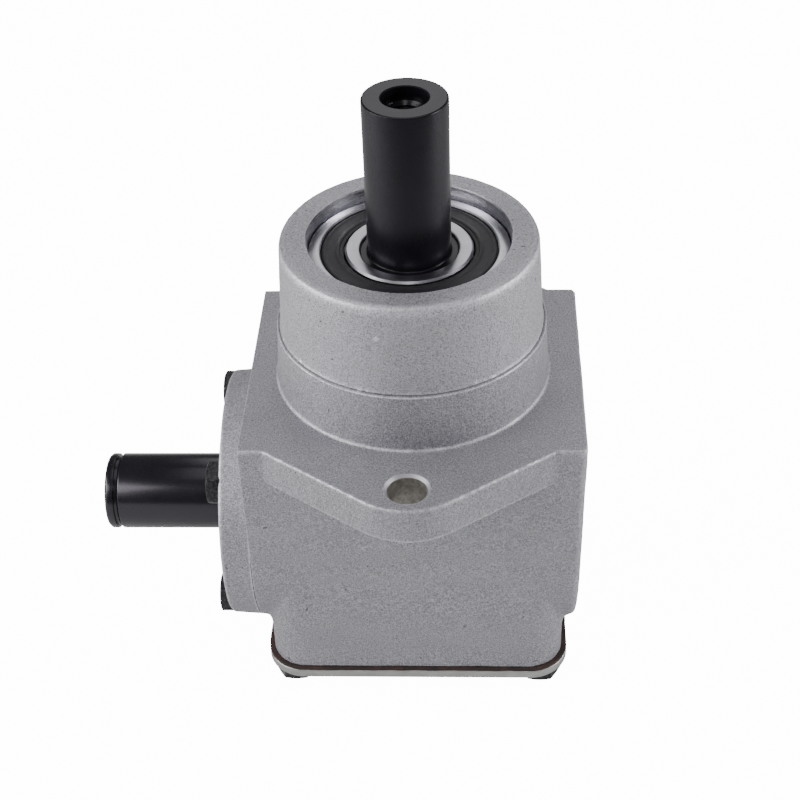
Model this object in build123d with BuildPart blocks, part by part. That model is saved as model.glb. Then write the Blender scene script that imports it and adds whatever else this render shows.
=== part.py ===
from build123d import *
from math import acos, atan2, cos, degrees, pi, radians, sin, sqrt, tan
import os

# Right angle bevel gearbox, millimetres. +Z runs up the vertical shaft, and z = 0 is the top face of the
# mounting flange. The horizontal shaft lies along X and comes out at -X.

# Shaft lines
AXIS_DROP = 52.5            # from the flange face down to the horizontal shaft's centre
SHAFT_R = 12.7              # one inch shafts
VERTICAL_TOP = 94.7
VERTICAL_FOOT = -35.0
HORIZONTAL_TIP = -104.0
HORIZONTAL_TAIL = 48.8

# Housing, outside
BOSS_TOP = 48.9
BOSS_TOP_R = 39.4
BOSS_STEP_Z = 19.2
BOSS_STEP_UPPER_R = 40.8
BOSS_STEP_LOWER_R = 41.9
BOSS_FOOT_R = 43.0
LEFT_END = -51.6
RIGHT_END = 53.4
FLANGE_HALF_Y = 43.3
EAR_THICKNESS = 12.2
EAR_TIP_R = 22.0
EAR_TIP_CENTRE_Y = 48.0
EAR_ROOT_X = 44.0
BOLT_SPACING = 120.0
BOLT_HOLE_R = 6.0
BLOCK_R = 41.5
SUMP_HALF_X = 49.0          # at the sump's top, inside the block; the walls draw in below it
SUMP_HALF_Y = 41.45
SUMP_TOP = -45.0
SUMP_CORNER_R = 12.0
SUMP_FLOOR = -95.0
SUMP_DRAFT = 0.6            # degrees
END_DRAFT = 0.5             # degrees, closed right end
BOSS_TOP_ROUND = 1.8
END_ROUND = 2.0
BOLT_CHAMFER = 0.9

# Housing, inside
CAVITY_LEFT = -35.0
CAVITY_RIGHT = 34.0
CAVITY_HALF_Y = 35.0
CAVITY_ROOF = -10.0
SUMP_CAVITY_HALF_X = 42.0
SUMP_CAVITY_HALF_Y = 24.0
SUMP_CAVITY_TOP = -85.0
CAVITY_CORNER_R = 4.0
HANGING_BOSS_WALL = 6.0
BORE_CHAMFER = 0.4
SCREW_HOLE_DEPTH = 14.0

# Ball bearings: bore, outside, width, pitch and ball radii, shoulders
BIG_BEARING = dict(bore=15.0, outside=31.0, width=16.0, pitch=23.0, ball=4.76, inner=19.5, outer=27.0,
                   rim=1.0)
INCH_BEARING = dict(bore=12.7, outside=26.0, width=15.0, pitch=19.5, ball=3.97, inner=16.4, outer=22.6,
                    rim=1.0)
BALLS = 9
BALL_PLAY = 0.08
POCKET_PLAY = 0.15
CAGE_HALF_WALL = 1.2
CAGE_RIMS = 1.6             # both rims of the cage beyond its pockets
POCKET_DEPTH = 8.0
SEAL_SINK = 0.4
SEAL_THICKNESS = 1.3
UPPER_BEARING_Z = BOSS_TOP - 4.3 - BIG_BEARING["width"]
LOWER_BEARING_Z = -14.5
LEFT_BEARING_X = -53.0
RIGHT_BEARING_X = 34.4
INCH_BORE_R = INCH_BEARING["outside"]
INCH_SHOULDER_R = INCH_BORE_R - 3
BIG_BORE_R = BIG_BEARING["outside"]
BIG_SHOULDER_R = BIG_BORE_R - 3
BORE_RING_THICKNESS = 2.0   # lower bearing's retaining ring
BORE_RING_GROOVE_R = INCH_BORE_R + 1.2

# Miter gears
TEETH = 16
MODULE = 3.5
FACE_WIDTH = 12.0
PRESSURE_ANGLE = radians(20)
TOOTH_THINNING = 0.20       # taken off each tooth at the pitch line, for backlash
PITCH_R = MODULE * TEETH / 2
CONE_DISTANCE = PITCH_R * sqrt(2)
SMALL_END = (CONE_DISTANCE - FACE_WIDTH) / CONE_DISTANCE
HUB_BACK = 37.5             # from the apex
HUB_R = 18.0
GEAR_FRONT = 21.6
SHIM = 0.5
SHIM_R = 16.0
BACK_CONE = 2.6             # length of the bevel behind the teeth, along each axis
ROOT_DEPTH = 1.25           # in modules

# Side cover and its oil seal
COVER_R = 41.5
COVER_FACE = -61.4
COVER_GASKET = 0.25
COVER_BOLT_R = 34.0
COVER_SCREW_LENGTH = 20.0
COVER_SHOULDER_R = 15.0
COVER_EDGE = 0.5
OIL_SEAL_R = 23.5
OIL_SEAL_WIDTH = 7.0
SEAL_TRACK_R = 12.3         # ground track that the oil seal's lips run on
LIP_CLEARANCE = 0.06
SPRING_SEAT_R = 14.4
SPRING_R = 0.7

# Bottom cover
PLATE_HALF_X = 50.4
PLATE_HALF_Y = 41.5
PLATE_CORNER_R = 12.8
PLATE_THICKNESS = 3.3
BOTTOM_GASKET = 1.3
PLATE_SCREW_INSET = 9.3      # from the plate's edges
PLATE_SCREW_X = PLATE_HALF_X - PLATE_SCREW_INSET
PLATE_SCREW_Y = PLATE_HALF_Y - PLATE_SCREW_INSET
PLATE_SCREW_LENGTH = 16.0

# Hexagon head screws, M8
SCREW_FLATS = 13.0
SCREW_HEAD = 4.1
SCREW_CROWN = 0.46           # radius of the head's flat top, in flats
SCREW_CROWN_SLOPE = 0.55
SCREW_POINT = 0.6
SCREW_SHANK_R = 3.95
SCREW_HOLE_R = 4.0
SCREW_CLEARANCE_R = 4.4

# Keys
KEY = 6.35
KEY_LENGTH = 14.0

# A shaft line is a plane whose local x is the radius and local y the place along the shaft.
VERTICAL = Plane(origin=(0, 0, 0), x_dir=(1, 0, 0), z_dir=(0, -1, 0))
HORIZONTAL = Plane(origin=(0, 0, -AXIS_DROP), x_dir=(0, 0, 1), z_dir=(0, 1, 0))
APEX_UP = Plane(origin=(0, 0, -AXIS_DROP), x_dir=(-1, 0, 0), z_dir=(0, 0, 1))
APEX_LEFT = Plane(origin=(0, 0, -AXIS_DROP), x_dir=(0, 0, 1), z_dir=(-1, 0, 0))
COVER_PLANE = Plane(origin=(COVER_FACE, 0, -AXIS_DROP), x_dir=(0, -1, 0), z_dir=(-1, 0, 0))

os.makedirs("parts", exist_ok=True)


def finish(part, label):
    """Name one finished piece and write it."""
    part.label = label
    export_step(part, f"parts/{label}.step")


def turned(line, outline):
    """A piece turned about a shaft line, from (radius, place) corners."""
    with BuildPart() as piece:
        with BuildSketch(line):
            with BuildLine():
                Polyline(*outline, close=True)
            make_face()
        revolve(axis=Axis(line.origin, line.y_dir))
    return piece.part


def ring_outline(inner, outer, start, end):
    """Corners of a plain ring's section."""
    return [(inner, start), (outer, start), (outer, end), (inner, end)]


def race_ring(line, size, start, outer):
    """An inner or outer bearing ring with its ball groove."""
    middle = start + size["width"] / 2
    end = start + size["width"]
    groove_r = size["ball"] * 1.04
    side = 1 if outer else -1
    back = size["outside"] if outer else size["bore"]
    shoulder = size["outer"] if outer else size["inner"]
    bottom = size["pitch"] + side * (size["ball"] + BALL_PLAY)
    half_mouth = sqrt(groove_r ** 2 - (groove_r - side * (bottom - shoulder)) ** 2)
    bevel = size["rim"] * side
    with BuildPart() as ring:
        with BuildSketch(line):
            with BuildLine():
                Polyline((shoulder, middle - half_mouth), (shoulder, start), (back - bevel, start),
                         (back, start + size["rim"]), (back, end - size["rim"]), (back - bevel, end),
                         (shoulder, end), (shoulder, middle + half_mouth))
                ThreePointArc((shoulder, middle + half_mouth), (bottom, middle),
                              (shoulder, middle - half_mouth))
            make_face()
        revolve(axis=Axis(line.origin, line.y_dir))
    return ring.part


def bearing_plane(line, size, start):
    """The plane through a bearing's ball centres, its normal along the shaft."""
    return Plane(origin=line.from_local_coords((0, start + size["width"] / 2, 0)),
                 x_dir=line.x_dir, z_dir=line.y_dir)


def ball_set(line, size, start):
    with BuildPart(bearing_plane(line, size, start)) as balls:
        with PolarLocations(size["pitch"], BALLS):
            Sphere(size["ball"])
    return balls.part


def ball_cage(line, size, start):
    """One-piece cage: a ring with a round pocket for each ball."""
    pocket = size["ball"] + POCKET_PLAY
    with BuildPart(bearing_plane(line, size, start)) as cage:
        Cylinder(size["pitch"] + CAGE_HALF_WALL, 2 * pocket + CAGE_RIMS)
        Cylinder(size["pitch"] - CAGE_HALF_WALL, 2 * pocket + CAGE_RIMS, mode=Mode.SUBTRACT)
        with PolarLocations(size["pitch"], BALLS):
            Cylinder(pocket, POCKET_DEPTH, rotation=(0, 90, 0), mode=Mode.SUBTRACT)
    return cage.part


def bearing(line, size, start, name):
    """One deep groove ball bearing, as the four kinds of piece in it."""
    finish(race_ring(line, size, start, True), f"{name}_bearing_outer_ring")
    finish(race_ring(line, size, start, False), f"{name}_bearing_inner_ring")
    finish(ball_set(line, size, start), f"{name}_bearing_balls")
    finish(ball_cage(line, size, start), f"{name}_bearing_cage")


def bearing_seal(line, size, start, name):
    """Rubber seal clipped inside the outer ring, clear of the inner ring."""
    inner = size["inner"] + 0.5
    outer = size["outer"]
    finish(turned(line, ring_outline(inner, outer, start, start + SEAL_THICKNESS)), name)


def split_ring(plane, inner, outer, thickness, gap, lug_r, hole_r, inward):
    """Retaining ring with two pliers lugs beside its gap, built on a plane with the gap at local +x."""
    middle = (inner + outer) / 2
    lug_turn = degrees((gap / 2 + lug_r) / middle)
    lug_centre = inner - lug_r * 0.3 if inward else outer + lug_r * 0.3
    with BuildPart() as ring:
        with BuildSketch(plane):
            Circle(outer)
            Circle(inner, mode=Mode.SUBTRACT)
            with PolarLocations(lug_centre, 2, -lug_turn, 4 * lug_turn):
                Circle(lug_r)
            with Locations((middle, 0)):
                Rectangle(outer, gap, mode=Mode.SUBTRACT)
            with PolarLocations(lug_centre, 2, -lug_turn, 4 * lug_turn):
                Circle(hole_r, mode=Mode.SUBTRACT)
        extrude(amount=thickness)
    return ring.part


def inverse_cosine(radius, base):
    return acos(min(1.0, base / radius))


def involute(angle):
    return tan(angle) - angle


def tooth_section(apex_plane, scale):
    """Section of one tooth on the plane square to the pitch cone, at a fraction of the cone distance."""
    reach = PITCH_R * scale
    spot = apex_plane.from_local_coords((reach, 0, reach))
    along = apex_plane.from_local_coords((1, 0, 1)) - apex_plane.origin
    across = apex_plane.y_dir
    virtual_r = CONE_DISTANCE * scale
    base_r = virtual_r * cos(PRESSURE_ANGLE)
    half_pitch_tooth = (pi * MODULE / 2 - TOOTH_THINNING) * scale / 2 / virtual_r

    def flank(radius, side):
        turn = half_pitch_tooth + involute(PRESSURE_ANGLE) - involute(inverse_cosine(radius, base_r))
        return (side * radius * sin(turn), radius * cos(turn) - virtual_r)

    tip_r = virtual_r + MODULE * scale
    foot_r = virtual_r - 1.6 * MODULE * scale
    with BuildSketch(Plane(origin=spot, x_dir=across, z_dir=-along)) as section:
        with BuildLine():
            for side in (1, -1):
                Line(flank(foot_r, side), flank(base_r, side))
                ThreePointArc(flank(base_r, side), flank(virtual_r, side), flank(tip_r, side))
            Line(flank(tip_r, 1), flank(tip_r, -1))
            Line(flank(foot_r, 1), flank(foot_r, -1))
        make_face()
    return section.sketch.faces()[0]


def miter_gear(apex_plane, phase):
    """Straight bevel gear on a plane at the cones' apex, its hub away from the apex."""
    section_plane = Plane(origin=apex_plane.origin, x_dir=apex_plane.x_dir, z_dir=-apex_plane.y_dir)
    axis = Axis(apex_plane.origin, apex_plane.z_dir)
    root = ROOT_DEPTH * MODULE / sqrt(2)
    big_root = (PITCH_R - root, PITCH_R + root)
    small_root = (big_root[0] * SMALL_END, big_root[1] * SMALL_END)
    tooth = loft([tooth_section(apex_plane, 1.0), tooth_section(apex_plane, SMALL_END)], ruled=True)
    with BuildPart() as gear:
        with BuildSketch(section_plane):
            with BuildLine():
                Polyline((SHAFT_R, GEAR_FRONT), small_root, big_root,
                         (big_root[0] - BACK_CONE, big_root[1] + BACK_CONE),
                         (HUB_R, big_root[1] + BACK_CONE), (HUB_R, HUB_BACK), (SHAFT_R, HUB_BACK), close=True)
            make_face()
        revolve(axis=axis)
        for index in range(TEETH):
            add(tooth.rotate(axis, 360 / TEETH * (index + phase)))
        with BuildSketch(apex_plane.offset(GEAR_FRONT - 1)):
            with Locations((SHAFT_R, 0)):
                Rectangle(KEY, KEY)
        extrude(amount=HUB_BACK, mode=Mode.SUBTRACT)
    return gear.part


def key_bar(apex_plane):
    """Parallel key between shaft and gear, half in each."""
    with BuildPart() as key:
        with BuildSketch(apex_plane.offset(GEAR_FRONT + 1)):
            with Locations((SHAFT_R, 0)):
                Rectangle(KEY, KEY)
        extrude(amount=KEY_LENGTH)
    return key.part


def hex_screw(length):
    """Hexagon head screw along -Z, its head on z = 0."""
    corner = SCREW_FLATS / sqrt(3)
    crown = SCREW_FLATS * SCREW_CROWN
    with BuildPart() as screw:
        with BuildSketch():
            RegularPolygon(SCREW_FLATS / 2, 6, major_radius=False)
        extrude(amount=SCREW_HEAD)
        with BuildSketch(Plane.XZ):
            with BuildLine():
                Polyline((0, 0), (corner, 0), (corner, SCREW_HEAD - (corner - crown) * SCREW_CROWN_SLOPE),
                         (crown, SCREW_HEAD), (0, SCREW_HEAD), close=True)
            make_face()
        revolve(axis=Axis.Z, mode=Mode.INTERSECT)
        with BuildSketch():
            Circle(SCREW_SHANK_R)
        extrude(amount=-length)
        chamfer(screw.edges().group_by(Axis.Z)[0], SCREW_POINT)
    return screw.part


def screw_group(screw, plane, spots, turn=0.0):
    """The same screw at every spot of a plane, as separate solids."""
    with BuildPart() as group:
        for spot in spots:
            add(screw.moved(plane.location * Location(spot.position) * Rotation(0, 0, turn)))
    return group.part


def plate_outline(half_x, half_y, corner):
    RectangleRounded(2 * half_x, 2 * half_y, corner)


# Places that repeat
cover_spots = PolarLocations(COVER_BOLT_R, 4, 45)
plate_spots = GridLocations(2 * PLATE_SCREW_X, 2 * PLATE_SCREW_Y, 2, 2)
ear_spots = GridLocations(0, BOLT_SPACING, 1, 2)

# Gear housing
tangent_turn = atan2(EAR_TIP_CENTRE_Y - FLANGE_HALF_Y, EAR_ROOT_X) - acos(
    EAR_TIP_R / sqrt(EAR_ROOT_X ** 2 + (EAR_TIP_CENTRE_Y - FLANGE_HALF_Y) ** 2))
tangent_x = EAR_TIP_R * cos(tangent_turn)
tangent_y = EAR_TIP_CENTRE_Y - EAR_TIP_R * sin(tangent_turn)

with BuildPart() as gear_housing:
    # Block: a U section along X, the closed end drafted, and the flange corners
    with BuildSketch(Plane(origin=(LEFT_END, 0, 0), x_dir=(0, 1, 0), z_dir=(1, 0, 0))):
        with BuildLine():
            Polyline((-BLOCK_R, -AXIS_DROP), (-FLANGE_HALF_Y, 0), (FLANGE_HALF_Y, 0), (BLOCK_R, -AXIS_DROP))
            ThreePointArc((BLOCK_R, -AXIS_DROP), (0, -AXIS_DROP - BLOCK_R), (-BLOCK_R, -AXIS_DROP))
        make_face()
    extrude(amount=RIGHT_END - LEFT_END)
    with BuildSketch(Plane.XZ):
        with BuildLine():
            drop = AXIS_DROP + BLOCK_R + 1
            Polyline((RIGHT_END, 0), (RIGHT_END + 2, 0), (RIGHT_END + 2, -drop),
                     (RIGHT_END - drop * tan(radians(END_DRAFT)), -drop), close=True)
        make_face()
    extrude(amount=FLANGE_HALF_Y + 1, both=True, mode=Mode.SUBTRACT)
    end_edges = gear_housing.edges().filter_by_position(Axis.X, RIGHT_END - 3, RIGHT_END + 1)
    fillet(end_edges.filter_by_position(Axis.Z, -AXIS_DROP - BLOCK_R, -0.5), END_ROUND)

    # Sump, its front and back leaving the block just below the shaft's height
    with BuildSketch(Plane.XY.offset(SUMP_TOP)):
        plate_outline(SUMP_HALF_X, SUMP_HALF_Y, SUMP_CORNER_R)
    extrude(amount=SUMP_FLOOR - SUMP_TOP, taper=SUMP_DRAFT)

    # Ears
    with BuildSketch(Plane.XY.offset(-EAR_THICKNESS)):
        for side in (1, -1):
            with BuildLine():
                Polyline((tangent_x, side * tangent_y), (EAR_ROOT_X, side * FLANGE_HALF_Y), (EAR_ROOT_X, 0),
                         (-EAR_ROOT_X, 0), (-EAR_ROOT_X, side * FLANGE_HALF_Y), (-tangent_x, side * tangent_y))
                ThreePointArc((tangent_x, side * tangent_y), (0, side * (EAR_TIP_CENTRE_Y + EAR_TIP_R)),
                              (-tangent_x, side * tangent_y))
            make_face()
    extrude(amount=EAR_THICKNESS)

    # Boss
    with BuildSketch(VERTICAL):
        with BuildLine():
            Polyline((0, -1), (BOSS_FOOT_R, -1), (BOSS_FOOT_R, 0), (BOSS_STEP_LOWER_R, BOSS_STEP_Z),
                     (BOSS_STEP_UPPER_R, BOSS_STEP_Z + 0.5), (BOSS_TOP_R, BOSS_TOP), (0, BOSS_TOP), close=True)
        make_face()
    revolve(axis=Axis.Z)
    fillet(gear_housing.edges().group_by(Axis.Z)[-1], BOSS_TOP_ROUND)

    # Inside: cavity, sump pocket, and the lower bearing's hanging boss
    with BuildSketch(Plane.XY.offset(SUMP_FLOOR)):
        with Locations(((CAVITY_LEFT + CAVITY_RIGHT) / 2, 0)):
            RectangleRounded(CAVITY_RIGHT - CAVITY_LEFT, 2 * CAVITY_HALF_Y, CAVITY_CORNER_R)
    extrude(amount=CAVITY_ROOF - SUMP_FLOOR, mode=Mode.SUBTRACT)
    with BuildSketch(Plane.XY.offset(SUMP_FLOOR)):
        plate_outline(SUMP_CAVITY_HALF_X, SUMP_CAVITY_HALF_Y, CAVITY_CORNER_R)
    extrude(amount=SUMP_CAVITY_TOP - SUMP_FLOOR, mode=Mode.SUBTRACT)
    with BuildSketch(Plane.XY.offset(LOWER_BEARING_Z - 3)):
        Circle(INCH_BORE_R + HANGING_BOSS_WALL)
    extrude(amount=CAVITY_ROOF - LOWER_BEARING_Z + 4)

    # Vertical bores, their shoulders and the retaining ring groove
    with BuildSketch(VERTICAL):
        with BuildLine():
            lower_end = LOWER_BEARING_Z + INCH_BEARING["width"]
            groove_foot = LOWER_BEARING_Z - BORE_RING_THICKNESS
            Polyline((0, LOWER_BEARING_Z - 6), (INCH_BORE_R, LOWER_BEARING_Z - 6), (INCH_BORE_R, groove_foot),
                     (BORE_RING_GROOVE_R, groove_foot), (BORE_RING_GROOVE_R, LOWER_BEARING_Z),
                     (INCH_BORE_R, LOWER_BEARING_Z), (INCH_BORE_R, lower_end), (INCH_SHOULDER_R, lower_end),
                     (INCH_SHOULDER_R, lower_end + 4), (BIG_SHOULDER_R, lower_end + 4),
                     (BIG_SHOULDER_R, UPPER_BEARING_Z), (BIG_BORE_R, UPPER_BEARING_Z),
                     (BIG_BORE_R, BOSS_TOP - BORE_CHAMFER), (BIG_BORE_R + BORE_CHAMFER, BOSS_TOP),
                     (BIG_BORE_R + BORE_CHAMFER, BOSS_TOP + 5), (0, BOSS_TOP + 5), close=True)
        make_face()
    revolve(axis=Axis.Z, mode=Mode.SUBTRACT)

    # Horizontal bores: open on the left, blind on the right
    with BuildSketch(HORIZONTAL):
        with BuildLine():
            left_shoulder = LEFT_BEARING_X + INCH_BEARING["width"]
            right_floor = RIGHT_BEARING_X + INCH_BEARING["width"]
            Polyline((0, LEFT_END - 1), (INCH_BORE_R, LEFT_END - 1), (INCH_BORE_R, left_shoulder),
                     (INCH_SHOULDER_R, left_shoulder), (INCH_SHOULDER_R, CAVITY_RIGHT - 1),
                     (INCH_BORE_R, CAVITY_RIGHT - 1), (INCH_BORE_R, right_floor), (0, right_floor), close=True)
        make_face()
    revolve(axis=Axis(HORIZONTAL.origin, HORIZONTAL.y_dir), mode=Mode.SUBTRACT)

    # Mounting holes, their chamfers, and the screw holes
    with BuildSketch(Plane.XY):
        with ear_spots:
            Circle(BOLT_HOLE_R)
    extrude(amount=-EAR_THICKNESS, mode=Mode.SUBTRACT)
    with BuildSketch(Plane.XY):
        with ear_spots:
            Circle(BOLT_HOLE_R + BOLT_CHAMFER)
    extrude(amount=-BOLT_CHAMFER, taper=45, mode=Mode.SUBTRACT)
    with BuildSketch(COVER_PLANE.offset(COVER_FACE - LEFT_END)):
        with cover_spots:
            Circle(SCREW_HOLE_R)
    extrude(amount=-SCREW_HOLE_DEPTH, mode=Mode.SUBTRACT)
    with BuildSketch(Plane.XY.offset(SUMP_FLOOR)):
        with plate_spots:
            Circle(SCREW_HOLE_R)
    extrude(amount=SCREW_HOLE_DEPTH, mode=Mode.SUBTRACT)
finish(gear_housing.part, "gear_housing")

# Bottom gasket and cover
with BuildPart() as bottom_gasket:
    with BuildSketch(Plane.XY.offset(SUMP_FLOOR - BOTTOM_GASKET)):
        plate_outline(PLATE_HALF_X, PLATE_HALF_Y, PLATE_CORNER_R)
        with Locations(((CAVITY_LEFT + CAVITY_RIGHT) / 2, 0)):
            RectangleRounded(CAVITY_RIGHT - CAVITY_LEFT, 2 * CAVITY_HALF_Y, CAVITY_CORNER_R,
                             mode=Mode.SUBTRACT)
        with plate_spots:
            Circle(SCREW_CLEARANCE_R, mode=Mode.SUBTRACT)
    extrude(amount=BOTTOM_GASKET)
finish(bottom_gasket.part, "bottom_gasket")

PLATE_TOP = SUMP_FLOOR - BOTTOM_GASKET
PLATE_BOTTOM = PLATE_TOP - PLATE_THICKNESS
with BuildPart() as bottom_cover:
    with BuildSketch(Plane.XY.offset(PLATE_BOTTOM)):
        plate_outline(PLATE_HALF_X, PLATE_HALF_Y, PLATE_CORNER_R)
        with plate_spots:
            Circle(SCREW_CLEARANCE_R, mode=Mode.SUBTRACT)
    extrude(amount=PLATE_THICKNESS)
    outline_edges = bottom_cover.edges().filter_by(lambda edge: edge.geom_type == GeomType.LINE)
    fillet(outline_edges.group_by(Axis.Z)[0] + outline_edges.group_by(Axis.Z)[-1], 0.4)
finish(bottom_cover.part, "bottom_cover")

plate_screws = screw_group(hex_screw(PLATE_SCREW_LENGTH), Plane(origin=(0, 0, PLATE_BOTTOM), z_dir=(0, 0, -1)),
                           plate_spots)
finish(plate_screws, "bottom_cover_screws")

# Side cover, its gasket and screws
with BuildPart() as side_cover:
    with BuildSketch(HORIZONTAL):
        with BuildLine():
            cover_back = LEFT_END - COVER_GASKET
            Polyline((OIL_SEAL_R, COVER_FACE), (COVER_R - COVER_EDGE, COVER_FACE),
                     (COVER_R, COVER_FACE + COVER_EDGE), (COVER_R, cover_back),
                     (INCH_BORE_R, cover_back), (INCH_BORE_R, LEFT_BEARING_X),
                     (COVER_SHOULDER_R, LEFT_BEARING_X), (COVER_SHOULDER_R, COVER_FACE + OIL_SEAL_WIDTH),
                     (OIL_SEAL_R, COVER_FACE + OIL_SEAL_WIDTH), close=True)
        make_face()
    revolve(axis=Axis(HORIZONTAL.origin, HORIZONTAL.y_dir))
    with BuildSketch(COVER_PLANE):
        with cover_spots:
            Circle(SCREW_CLEARANCE_R)
    extrude(amount=-(LEFT_END - COVER_FACE), mode=Mode.SUBTRACT)
finish(side_cover.part, "side_cover")

with BuildPart() as side_cover_gasket:
    with BuildSketch(COVER_PLANE.offset(COVER_FACE - LEFT_END)):
        Circle(COVER_R - 0.3)
        Circle(INCH_BORE_R, mode=Mode.SUBTRACT)
        with cover_spots:
            Circle(SCREW_CLEARANCE_R, mode=Mode.SUBTRACT)
    extrude(amount=COVER_GASKET)
finish(side_cover_gasket.part, "side_cover_gasket")

cover_screws = screw_group(hex_screw(COVER_SCREW_LENGTH), COVER_PLANE, cover_spots, 45)
finish(cover_screws, "side_cover_screws")

# Oil seal in the side cover, and the garter spring round its lip
SEAL_IN = COVER_FACE + OIL_SEAL_WIDTH
LIP_R = SEAL_TRACK_R + LIP_CLEARANCE
oil_seal = turned(HORIZONTAL, [
    (OIL_SEAL_R, COVER_FACE + 0.3), (OIL_SEAL_R, SEAL_IN), (OIL_SEAL_R - 2.2, SEAL_IN),
    (OIL_SEAL_R - 2.2, COVER_FACE + 3.1), (17.6, COVER_FACE + 3.1), (14.9, COVER_FACE + 3.6),
    (SPRING_SEAT_R, COVER_FACE + 4.6), (SPRING_SEAT_R, COVER_FACE + 6.2), (LIP_R + 0.5, COVER_FACE + 6.2),
    (LIP_R, COVER_FACE + 5.2), (LIP_R + 0.9, COVER_FACE + 2.6), (LIP_R, COVER_FACE + 0.9),
    (LIP_R + 0.6, COVER_FACE + 0.3)])
finish(oil_seal, "oil_seal")

with BuildPart() as garter_spring:
    with BuildSketch(HORIZONTAL):
        with Locations((SPRING_SEAT_R + SPRING_R + 0.02, COVER_FACE + 5.4)):
            Circle(SPRING_R)
    revolve(axis=Axis(HORIZONTAL.origin, HORIZONTAL.y_dir))
finish(garter_spring.part, "oil_seal_spring")

# Vertical shaft
GROOVE_DEPTH = 0.75
RING_THICKNESS = 1.2
RING_R = 15.2
RING_GAP = 3.0
RING_LUG_R = 1.6
RING_LUG_HOLE_R = 0.8
BORE_RING_GAP = 8.0
BORE_RING_LUG_R = 2.6
BORE_RING_LUG_HOLE_R = 1.25
COLLAR_R = 18.0
SLEEVE_LENGTH = 7.0          # of the seat below the collar
BIG_SEAT_R = BIG_BEARING["bore"]
STEP_Z = UPPER_BEARING_Z + BIG_BEARING["width"] - 2.2
STEP_ROUND = BIG_SEAT_R - SHAFT_R
SHAFT_CHAMFER = 0.6
THREAD_CORE_R = 5.1
THREAD_DEPTH = 30.0
COUNTERBORE_R = 7.0
COUNTERBORE_DEPTH = 4.0
vertical_ring_z = -AXIS_DROP + GEAR_FRONT - RING_THICKNESS
lower_top = LOWER_BEARING_Z + INCH_BEARING["width"]
with BuildPart() as vertical_shaft:
    with BuildSketch(VERTICAL):
        with BuildLine():
            Polyline((SHAFT_R, STEP_Z + STEP_ROUND), (SHAFT_R, VERTICAL_TOP - SHAFT_CHAMFER),
                     (SHAFT_R - SHAFT_CHAMFER, VERTICAL_TOP), (0, VERTICAL_TOP), (0, VERTICAL_FOOT),
                     (SHAFT_R - SHAFT_CHAMFER, VERTICAL_FOOT), (SHAFT_R, VERTICAL_FOOT + SHAFT_CHAMFER),
                     (SHAFT_R, vertical_ring_z),
                     (SHAFT_R - GROOVE_DEPTH, vertical_ring_z),
                     (SHAFT_R - GROOVE_DEPTH, vertical_ring_z + RING_THICKNESS),
                     (SHAFT_R, vertical_ring_z + RING_THICKNESS), (SHAFT_R, lower_top),
                     (BIG_SEAT_R, lower_top), (BIG_SEAT_R, lower_top + SLEEVE_LENGTH),
                     (COLLAR_R, lower_top + SLEEVE_LENGTH),
                     (COLLAR_R, UPPER_BEARING_Z), (BIG_SEAT_R, UPPER_BEARING_Z), (BIG_SEAT_R, STEP_Z))
            hollow = STEP_ROUND * (1 - cos(pi / 4))
            ThreePointArc((BIG_SEAT_R, STEP_Z), (SHAFT_R + hollow, STEP_Z + hollow),
                          (SHAFT_R, STEP_Z + STEP_ROUND))
        make_face()
    revolve(axis=Axis.Z)
    with BuildSketch(Plane.XY.offset(VERTICAL_TOP)):
        Circle(COUNTERBORE_R)
    extrude(amount=-COUNTERBORE_DEPTH, mode=Mode.SUBTRACT)
    with BuildSketch(Plane.XY.offset(VERTICAL_TOP)):
        Circle(THREAD_CORE_R)
    extrude(amount=-THREAD_DEPTH, mode=Mode.SUBTRACT)
    add(key_bar(APEX_UP), mode=Mode.SUBTRACT)
finish(vertical_shaft.part, "vertical_shaft")

# Horizontal shaft, with the groove near its free end
horizontal_ring_x = -GEAR_FRONT
with BuildPart() as horizontal_shaft:
    with BuildSketch(HORIZONTAL):
        with BuildLine():
            Polyline((0, HORIZONTAL_TIP), (SHAFT_R - 0.9, HORIZONTAL_TIP), (SHAFT_R, HORIZONTAL_TIP + 0.9),
                     (SHAFT_R, HORIZONTAL_TIP + 2.8), (SHAFT_R - 0.85, HORIZONTAL_TIP + 2.9),
                     (SHAFT_R - 0.85, HORIZONTAL_TIP + 3.9), (SHAFT_R, HORIZONTAL_TIP + 4.7),
                     (SHAFT_R, COVER_FACE - 0.2), (SEAL_TRACK_R, COVER_FACE - 0.1),
                     (SEAL_TRACK_R, SEAL_IN - 0.1), (SHAFT_R, SEAL_IN),
                     (SHAFT_R, horizontal_ring_x), (SHAFT_R - GROOVE_DEPTH, horizontal_ring_x),
                     (SHAFT_R - GROOVE_DEPTH, horizontal_ring_x + RING_THICKNESS),
                     (SHAFT_R, horizontal_ring_x + RING_THICKNESS), (SHAFT_R, HORIZONTAL_TAIL - 0.8),
                     (SHAFT_R - 0.8, HORIZONTAL_TAIL), (0, HORIZONTAL_TAIL), close=True)
        make_face()
    revolve(axis=Axis(HORIZONTAL.origin, HORIZONTAL.y_dir))
    add(key_bar(APEX_LEFT), mode=Mode.SUBTRACT)
finish(horizontal_shaft.part, "horizontal_shaft")

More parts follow.
